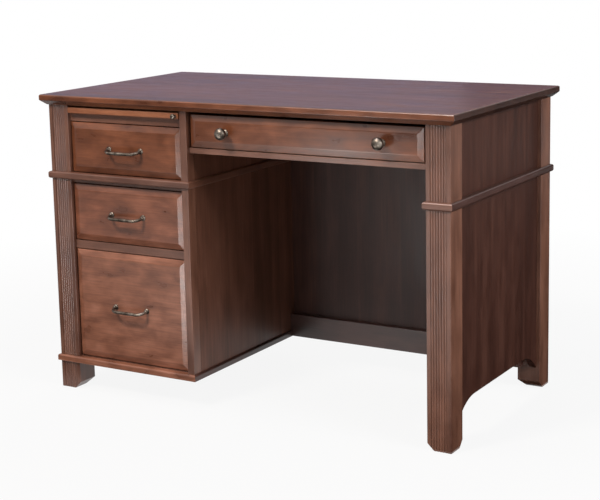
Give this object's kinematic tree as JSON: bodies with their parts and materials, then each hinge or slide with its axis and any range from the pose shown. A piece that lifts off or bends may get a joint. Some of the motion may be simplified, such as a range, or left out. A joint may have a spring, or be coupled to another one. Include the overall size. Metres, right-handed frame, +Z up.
{
  "type": "kneehole desk",
  "caption": "Single-pedestal kneehole desk with reeded posts, raised-panel drawers, a pull-out writing slide and a moulded top.",
  "frame": {"origin": "on the floor, below the middle of the desk's bounding box", "axes": "+Z up, -Y towards the sitter (the drawer side), +X to the sitter's right, so the pedestal is at -X"},
  "size_m": [1.143, 0.632, 0.762],
  "materials": {
    "stained_top": "satin brown-stained hardwood",
    "stained_case": "satin brown-stained hardwood",
    "stained_fronts": "satin brown-stained figured hardwood",
    "drawer_maple": "clear-lacquered pale hardwood",
    "slide_steel": "zinc-plated steel",
    "antique_bronze": "antique bronze, rubbed bright on the crowns"
  },
  "bodies": {
    "desk": {"base_moulding_back": "stained_case", "base_moulding_front": "stained_case", "base_moulding_kneehole": "stained_case", "base_moulding_left": "stained_case", "desktop": "stained_top", "kneehole_rail": "stained_case", "left_end_panel": "stained_case", "modesty_panel": "stained_case", "modesty_rail": "stained_case", "pedestal_back_panel": "stained_case", "pedestal_bottom_board": "stained_case", "pedestal_inner_panel": "stained_case", "pedestal_stile": "stained_case", "post_back_left": "stained_case", "post_back_right": "stained_case", "post_front_left": "stained_case", "post_front_right": "stained_case", "rail_below_slide": "stained_case", "rail_lower": "stained_case", "rail_waist": "stained_case", "right_end_panel": "stained_case", "slide_channels_fixed": "slide_steel", "slide_mounting_blocks": "drawer_maple", "top_glue_blocks": "drawer_maple", "waist_moulding_back": "stained_case", "waist_moulding_front": "stained_case", "waist_moulding_kneehole": "stained_case", "waist_moulding_left": "stained_case", "waist_moulding_right": "stained_case", "waist_moulding_right_post": "stained_case", "writing_slide_guides": "drawer_maple"},
    "center_drawer": {"center_drawer_back": "drawer_maple", "center_drawer_bottom": "drawer_maple", "center_drawer_front": "stained_fronts", "center_drawer_knobs": "antique_bronze", "center_drawer_sides": "drawer_maple", "center_drawer_slide_members": "slide_steel"},
    "file_drawer": {"file_drawer_back": "drawer_maple", "file_drawer_bottom": "drawer_maple", "file_drawer_front": "stained_fronts", "file_drawer_pull": "antique_bronze", "file_drawer_sides": "drawer_maple", "file_drawer_slide_members": "slide_steel"},
    "file_drawer_slide_middle": {"file_drawer_slide_middles": "slide_steel"},
    "middle_drawer": {"middle_drawer_back": "drawer_maple", "middle_drawer_bottom": "drawer_maple", "middle_drawer_front": "stained_fronts", "middle_drawer_pull": "antique_bronze", "middle_drawer_sides": "drawer_maple", "middle_drawer_slide_members": "slide_steel"},
    "middle_drawer_slide_middle": {"middle_drawer_slide_middles": "slide_steel"},
    "upper_drawer": {"upper_drawer_back": "drawer_maple", "upper_drawer_bottom": "drawer_maple", "upper_drawer_front": "stained_fronts", "upper_drawer_pull": "antique_bronze", "upper_drawer_sides": "drawer_maple", "upper_drawer_slide_members": "slide_steel"},
    "upper_drawer_slide_middle": {"upper_drawer_slide_middles": "slide_steel"},
    "writing_slide": {"writing_slide_board": "stained_fronts", "writing_slide_knob": "antique_bronze"}
  },
  "joints": [
    {"name": "writing_slide_pull_out", "type": "slide", "parent": "desk", "child": "writing_slide", "axis": [0, -1, 0], "range_m": [0, 0.3]},
    {"name": "center_drawer_slide", "type": "slide", "parent": "desk", "child": "center_drawer", "axis": [0, -1, 0], "range_m": [0, 0.3]},
    {"name": "upper_drawer_slide", "type": "slide", "parent": "desk", "child": "upper_drawer", "axis": [0, -1, 0], "range_m": [0, 0.43]},
    {"name": "upper_drawer_middle_slide", "type": "slide", "parent": "desk", "child": "upper_drawer_slide_middle", "axis": [0, -1, 0], "range_m": [0, 0.215]},
    {"name": "middle_drawer_slide", "type": "slide", "parent": "desk", "child": "middle_drawer", "axis": [0, -1, 0], "range_m": [0, 0.43]},
    {"name": "middle_drawer_middle_slide", "type": "slide", "parent": "desk", "child": "middle_drawer_slide_middle", "axis": [0, -1, 0], "range_m": [0, 0.215]},
    {"name": "file_drawer_slide", "type": "slide", "parent": "desk", "child": "file_drawer", "axis": [0, -1, 0], "range_m": [0, 0.43]},
    {"name": "file_drawer_middle_slide", "type": "slide", "parent": "desk", "child": "file_drawer_slide_middle", "axis": [0, -1, 0], "range_m": [0, 0.215]}
  ],
  "couplings": [
    {"joint": "upper_drawer_middle_slide", "follows": "upper_drawer_slide", "ratio": 0.5},
    {"joint": "middle_drawer_middle_slide", "follows": "middle_drawer_slide", "ratio": 0.5},
    {"joint": "file_drawer_middle_slide", "follows": "file_drawer_slide", "ratio": 0.5}
  ]
}
